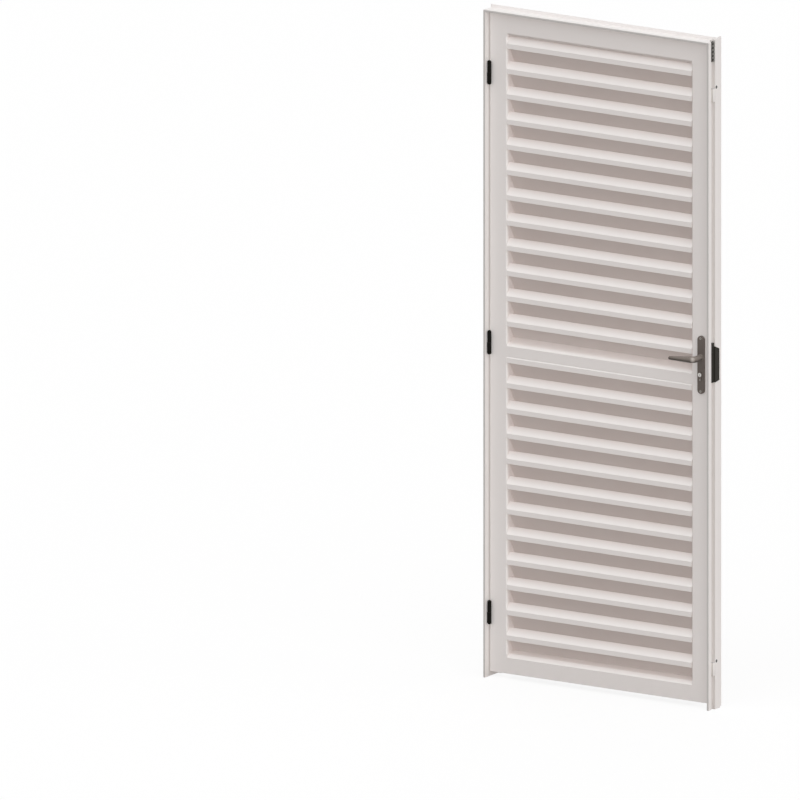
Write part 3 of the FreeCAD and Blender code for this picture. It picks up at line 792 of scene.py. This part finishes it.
# %% Collars, plugs and pins
COLLAR = [(8.7, 0), (10.8, 0), (10.8, 1.4), (10.1, 2.1), (9.1, 2.1), (8.7, 1.7), (8.7, 0)]
PLUG = [(0, 2.4), (5.5, 2.4), (6.1, 1.9), (6.1, -0.2), (0, -0.2)]
PIN = [(0, 0.5), (1.1, 0.4), (1.4, 0), (1.4, -0.3), (0, -0.3)]
CYLINDER_RADIUS = 8.5 * MM
TAIL_LENGTH = 16 * MM

cylinder_low, cylinder_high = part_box("lock_cylinder")
plug_height = cylinder_high.z - CYLINDER_RADIUS
cylinder_ends = {"front": cylinder_low.y, "back": cylinder_high.y}
for side, face in plate_faces.items():
    neck = Vector((lever_axis.x, face, lever_axis.z))
    fit(f"{side}_neck_collar", turned(COLLAR, neck, side), collar_metal, "leaf")
    middle = Vector((lever_axis.x, cylinder_ends[side], plug_height))
    fit(f"{side}_cylinder_plug", turned(PLUG, middle, side), nickel, "leaf")
    foot = middle - Vector((0, 0, TAIL_LENGTH))
    fit(f"{side}_cylinder_pin", turned(PIN, foot, side), nickel, "leaf")
print("cylinder plugs at z", round(plug_height / MM, 1))

# %% Keyways
KEYWAY = (1.1 * MM, 0.5 * MM, 7.0 * MM)
KEYWAY_PROUD = 2.25 * MM
KEYWAY_EDGE = 0.2 * MM
OUT = {"front": -1, "back": 1}
BLOCK_EDGE_STEPS = 2


def add_block(builder, low, high, edge):
    """A bevelled block between two corners, added to a bmesh."""
    cube = bmesh.ops.create_cube(builder, size=1)["verts"]
    bmesh.ops.scale(builder, verts=cube, vec=high - low)
    bmesh.ops.translate(builder, verts=cube, vec=(low + high) / 2)
    edges = [item for item in builder.edges if all(vert in cube for vert in item.verts)]
    bmesh.ops.bevel(builder, geom=edges, offset=edge, affect="EDGES", segments=BLOCK_EDGE_STEPS,
                    profile=0.5, material=-1)


# Each keyway is a dark block on the plug, painted shade standing in for the slot
for side, end in cylinder_ends.items():
    middle = Vector((lever_axis.x, end + OUT[side] * KEYWAY_PROUD, plug_height))
    builder = bmesh.new()
    add_block(builder, middle - Vector(KEYWAY) / 2, middle + Vector(KEYWAY) / 2, KEYWAY_EDGE)
    fit(f"{side}_keyway", builder, hinge_black, "leaf")
print("keyways", KEYWAY[2] / MM, "mm tall")

# %% [markdown]
# ## Lever handles
# Each lever is one swept bar: a round neck that flares out of the plate, a bend of a quarter turn, and a
# grip that narrows to a blunt round tip with its underside kept level. One ring of points makes it all:
# it is drawn out along the neck, spun round the bend, drawn out again along the grip in short lengths
# that each shrink a little, and closed at the tip.

# %% Stations along the grip
RING_STEPS = 36
BEND_STEPS = 10
TAPER_STEPS = 7
TIP_STEPS = 6
NECK_RADIUS = 8.2 * MM
ELBOW_RADIUS = 9.9 * MM
BEND_RADIUS = 10.4 * MM
TIP_SHARE = 0.57
TIP_DEPTH = 4.5 * MM
UNDERSIDE_LEVEL = 0.85


def grip_stations(length):
    """Places along the grip, each with its share of the elbow's size: a taper and a round tip."""
    taper = length - TIP_DEPTH
    stations = []
    for step in range(1, TAPER_STEPS + 1):
        share = step / TAPER_STEPS
        stations.append((taper * share, 1 - (1 - TIP_SHARE) * share))
    for step in range(1, TIP_STEPS):
        angle = math.pi / 2 * step / TIP_STEPS
        stations.append((taper + TIP_DEPTH * math.sin(angle), TIP_SHARE * math.cos(angle)))
    return stations


elbow_thick = 2 * ELBOW_RADIUS / MM
print("elbow", round(elbow_thick, 1), "mm thick, tip", round(elbow_thick * TIP_SHARE, 1))


# %% Tools for a sweep
def edges_in(geom):
    return [item for item in geom if isinstance(item, bmesh.types.BMEdge)]


def draw_out(builder, ring, move):
    """Extrude a ring of edges and move the new ring along; the new edges and points come back."""
    new = bmesh.ops.extrude_edge_only(builder, edges=ring)["geom"]
    verts = verts_in(new)
    bmesh.ops.translate(builder, verts=verts, vec=move)
    return [edge for edge in edges_in(new) if all(vert in verts for vert in edge.verts)], verts


def resize(builder, verts, centre, share):
    bmesh.ops.scale(builder, verts=verts, vec=(share, share, share), space=Matrix.Translation(-centre))


print("a ring can be drawn out and resized")

# %% Neck and bend
NECK_SUNK = 1.0 * MM


def neck_and_bend(side, elbow):
    """A flared neck with its quarter turn: the bmesh, its last ring of edges and that ring's centre."""
    out = OUT[side]
    seat = plate_faces[side] - out * NECK_SUNK
    bend_start = elbow - out * BEND_RADIUS
    builder = bmesh.new()
    bmesh.ops.create_circle(builder, cap_ends=True, segments=RING_STEPS, radius=NECK_RADIUS)
    placed = Matrix.Translation((lever_axis.x, seat, lever_axis.z)) @ TOWARDS["front"]
    bmesh.ops.transform(builder, matrix=placed, verts=builder.verts)
    ring, verts = draw_out(builder, builder.edges[:], (0, bend_start - seat, 0))
    flare_centre = Vector((lever_axis.x, bend_start, lever_axis.z))
    resize(builder, verts, flare_centre, ELBOW_RADIUS / NECK_RADIUS)
    bend_centre = Vector((lever_axis.x - BEND_RADIUS, bend_start, lever_axis.z))
    spun = bmesh.ops.spin(builder, geom=ring + verts, cent=bend_centre, axis=(0, 0, out),
                          angle=math.pi / 2, steps=BEND_STEPS)["geom_last"]
    return builder, edges_in(spun), Vector((bend_centre.x, elbow, lever_axis.z))


print("neck", round(2 * NECK_RADIUS / MM, 1), "mm thick at the plate")

# %% Swept levers
FACE_CLEAR = 0.1 * MM
TIP_CLEAR = 0.3 * MM


def swept_lever(side):
    low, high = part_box(f"{side}_lever")
    face = low.y if side == "front" else high.y
    elbow = face - OUT[side] * (ELBOW_RADIUS + FACE_CLEAR)
    builder, ring, centre = neck_and_bend(side, elbow)
    done, size = 0, 1.0
    for distance, share in grip_stations(centre.x - low.x - TIP_CLEAR):
        shrunk = max(0, size - max(share, TIP_SHARE))
        move = Vector((done - distance, 0, -UNDERSIDE_LEVEL * ELBOW_RADIUS * shrunk))
        ring, verts = draw_out(builder, ring, move)
        centre = centre + move
        resize(builder, verts, centre, share / size)
        done, size = distance, share
    bmesh.ops.contextual_create(builder, geom=ring)
    bmesh.ops.recalc_face_normals(builder, faces=builder.faces)
    made = fit(f"{side}_lever_swept", builder, lever_metal, "lever")
    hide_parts(f"{side}_lever")
    return made


for side in ("front", "back"):
    lever = swept_lever(side)
    print(lever.name, len(lever.data.polygons), "faces")

# %% [markdown]
# ## Cleat teeth
# The anchor cleat in each outer channel is notched, so that mortar or a clip can grip it: a row of blocks
# stands on its bar, with a narrow groove between two blocks and half a block at each end. A block is a
# cube, scaled to size and bevelled. All the blocks of a cleat are one mesh, because they are moulded in
# one piece.

# %% Teeth on the cleats
TOOTH_PITCH = 12.4 * MM
TOOTH_GROOVE = 4.4 * MM
TOOTH_EDGE = 0.7 * MM
TOOTH_INSET = 0.4 * MM
OUTER_CLEAR = 0.5 * MM
OVERLAP = 0.3 * MM


def cleat_teeth(cleat, inner, outer):
    low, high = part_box(cleat)
    builder = bmesh.new()
    grooves = round((high.z - low.z) / TOOTH_PITCH)
    for number in range(grooves + 1):
        top = min(high.z, high.z - (number - 0.5) * TOOTH_PITCH - TOOTH_GROOVE / 2)
        foot = max(low.z, high.z - (number + 0.5) * TOOTH_PITCH + TOOTH_GROOVE / 2)
        front_foot = Vector((inner, low.y + TOOTH_INSET, foot))
        back_top = Vector((outer, high.y - TOOTH_INSET, top))
        add_block(builder, front_foot, back_top, TOOTH_EDGE)
    fit(f"{cleat}_teeth", builder, tooth_grey, "frame")
    return grooves + 1


lock_bar, hinge_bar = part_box("lock_cleat"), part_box("hinge_cleat")
lock_blocks = cleat_teeth("lock_cleat", lock_bar[1].x - OVERLAP, cad_box[1].x - OUTER_CLEAR)
hinge_blocks = cleat_teeth("hinge_cleat", cad_box[0].x + OUTER_CLEAR, hinge_bar[0].x + OVERLAP)
print("blocks on the cleats:", lock_blocks, hinge_blocks)

# %% [markdown]
# ## Fixing blocks
# Under each fixing hole a short white block fills the jamb's outer channel, so that the section isn't
# crushed when the frame is screwed tight to the wall. A block has the channel's own width, stands on the
# channel's floor and stops just short of the jamb's outer face. It is another bevelled cube, in the white
# coat, with painted shade on its front side and a painted shadow round its upper end.

# %% Blocks in the outer channels
BLOCK_BELOW_HOLE = 2 * MM
BLOCK_LENGTH = 42 * MM
BLOCK_EDGE = 0.6 * MM
BLOCK_SET_BACK = 0.2 * MM
BLOCK_SIDE_GAP = 0.05 * MM
BLOCK_END_SHADOW = 0.5


# Painted shade on the block's front side and a painted shadow round its upper end
def block_marks(coat, tone):
    front = coat.fade(coat.y, CHANNEL[0], CHANNEL[0] + WALL)
    tone = coat.blend(front, tone, FRAME_SHADE)
    for height in FIXING_HEIGHTS.values():
        from_end = abs(coat.z - (height - BLOCK_BELOW_HOLE))
        tone = coat.blend(coat.fade(from_end, BLOCK_EDGE, WALL) * BLOCK_END_SHADOW, tone, SHADE_GREY)
    return tone


block_white = white_coat("white_powder_coat_block", block_marks)
for jamb, outwards in (("hinge_jamb", -1), ("lock_jamb", 1)):
    floor_x = DOOR_MIDDLE + outwards * (CHANNEL_FLOOR - OVERLAP)
    mouth_x = DOOR_MIDDLE + outwards * (FRAME_HIGH.x - DOOR_MIDDLE - BLOCK_SET_BACK)
    for place, height in FIXING_HEIGHTS.items():
        top = height - BLOCK_BELOW_HOLE
        low = Vector((min(floor_x, mouth_x), CHANNEL[0] + BLOCK_SIDE_GAP, top - BLOCK_LENGTH))
        high = Vector((max(floor_x, mouth_x), CHANNEL[1] - BLOCK_SIDE_GAP, top))
        builder = bmesh.new()
        add_block(builder, low, high, BLOCK_EDGE)
        fit(f"{jamb}_{place}_fixing_block", builder, block_white, "frame")
print("fixing blocks", [round(value / MM, 1) for value in high - low], "mm")

# %% [markdown]
# ## Lock edge
# On the edge of the lock stile a long faceplate closes the lock. A screw holds each end, and the fronts
# of the latch and of the bolt show in it, drawn back until they are almost flush. The latch is sloped on
# the side that meets the frame first, so its block is sheared by lowering the two edges on that side.

# %% Latch, bolt and faceplate screws
FACEPLATE_SCREW_FROM_END = 10 * MM
LATCH_HALF = (5.5 * MM, 13 * MM)
BOLT_HALF = (5.5 * MM, 15 * MM)
LATCH_PROUD = 1.8 * MM
BOLT_PROUD = 0.8 * MM
LATCH_ABOVE_LEVER = 8.75 * MM
BOLT_BELOW_LEVER = 47.75 * MM
LATCH_SLOPE = 1.2 * MM
TONGUE_EDGE = 0.25 * MM
EDGE_SCREW = [(0, 0.3), (1.4, 0.3), (2.6, 0.2), (3.1, 0), (3.1, -0.4), (0, -0.4)]
EDGE_SOCKET = [(0, 0.36), (1.2, 0.36), (1.2, 0.2), (0, 0.2)]

plate_low, plate_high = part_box("lock_faceplate")
plate_middle = (plate_low + plate_high) / 2


def lock_tongue(name, height, half, proud, slope):
    builder = bmesh.new()
    size = Vector((OVERLAP, half[0], half[1]))
    centre = Vector((plate_high.x, plate_middle.y, height))
    add_block(builder, centre - size, centre + Vector((proud, half[0], half[1])), TONGUE_EDGE)
    leading = [vert for vert in builder.verts if vert.co.x > plate_high.x and vert.co.y > plate_middle.y]
    bmesh.ops.translate(builder, verts=leading, vec=(-slope, 0, 0))
    fit(name, builder, nickel, "leaf")


lock_tongue("latch_front", lever_axis.z + LATCH_ABOVE_LEVER, LATCH_HALF, LATCH_PROUD, LATCH_SLOPE)
lock_tongue("bolt_front", lever_axis.z - BOLT_BELOW_LEVER, BOLT_HALF, BOLT_PROUD, 0)
screw_heights = {
    "top": plate_high.z - FACEPLATE_SCREW_FROM_END,
    "bottom": plate_low.z + FACEPLATE_SCREW_FROM_END,
}
for place, z in screw_heights.items():
    at = Vector((plate_high.x, plate_middle.y, z))
    fit_screw(f"faceplate_{place}_screw", at, "right", EDGE_SCREW, EDGE_SOCKET)
print("faceplate from z", round(plate_low.z / MM, 1), "to", round(plate_high.z / MM, 1))

# %% [markdown]
# ## Seals
# A soft grey seal is pressed onto each stop, and the closed leaf rests just short of it. The seal is half
# a round bar: a disc is cut in two along its middle, and the half that is left is drawn out along the
# stop.

# %% Seals on the stops
SEAL_RADIUS = 3.4 * MM
SEAL_STEPS = 20
SEAL_END = 3 * MM
RUBBER = (0.22, 0.22, 0.215)
RUBBER_DARK = (0.18, 0.18, 0.175)
RUBBER_LIGHT = (0.28, 0.28, 0.27)


def grey_rubber():
    rubber = Finish("grey_seal_rubber", RUBBER, roughness=0.7, specular=0.25)
    bloom = rubber.noise(scale=45.0, detail=4.0)
    tone = rubber.blend(bloom, RUBBER_DARK, RUBBER_LIGHT)
    skin = rubber.bump(rubber.noise(scale=700.0, detail=2.0), depth=0.04 * MM, edge=0.2 * MM)
    return rubber.feed(Base_Color=tone, Roughness=0.62 + bloom * 0.16, Normal=skin)


def seal(stop, along):
    low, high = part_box(stop)
    if along == "up":
        start = Vector(((low.x + high.x) / 2, low.y, low.z + SEAL_END))
        run = Vector((0, 0, high.z - low.z - 2 * SEAL_END))
    else:
        start = Vector((low.x + SEAL_END, low.y, (low.z + high.z) / 2))
        run = Vector((high.x - low.x - 2 * SEAL_END, 0, 0))
    builder = bmesh.new()
    bmesh.ops.create_circle(builder, cap_ends=True, segments=SEAL_STEPS, radius=SEAL_RADIUS)
    disc = builder.verts[:] + builder.edges[:] + builder.faces[:]
    bmesh.ops.bisect_plane(builder, geom=disc, plane_co=(0, 0, 0), plane_no=(0, 1, 0), clear_outer=True)
    bmesh.ops.remove_doubles(builder, verts=builder.verts, dist=MERGE)
    placed = Matrix.Translation(start) @ TOWARDS[along]
    bmesh.ops.transform(builder, matrix=placed, verts=builder.verts)
    end = verts_in(bmesh.ops.extrude_face_region(builder, geom=builder.faces[:])["geom"])
    bmesh.ops.translate(builder, verts=end, vec=run)
    bmesh.ops.recalc_face_normals(builder, faces=builder.faces)
    fit(f"{stop}_seal", builder, seal_rubber, "frame")


seal_rubber = grey_rubber()
for stop, along in (("hinge_stop", "up"), ("lock_stop", "up"), ("head_stop", "right")):
    seal(stop, along)

# %% [markdown]
# ## Sizes
# The box of the bare solids and that of the dressed door are printed for comparison. The dressed door
# has to stay inside the box of its solids.

# %% Sizes of the bare and the dressed door
boxes = {"cad": cad_box, "visual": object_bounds()}
for name, (low, high) in boxes.items():
    print(name, "box in mm:", [round(value / MM, 1) for value in high - low])
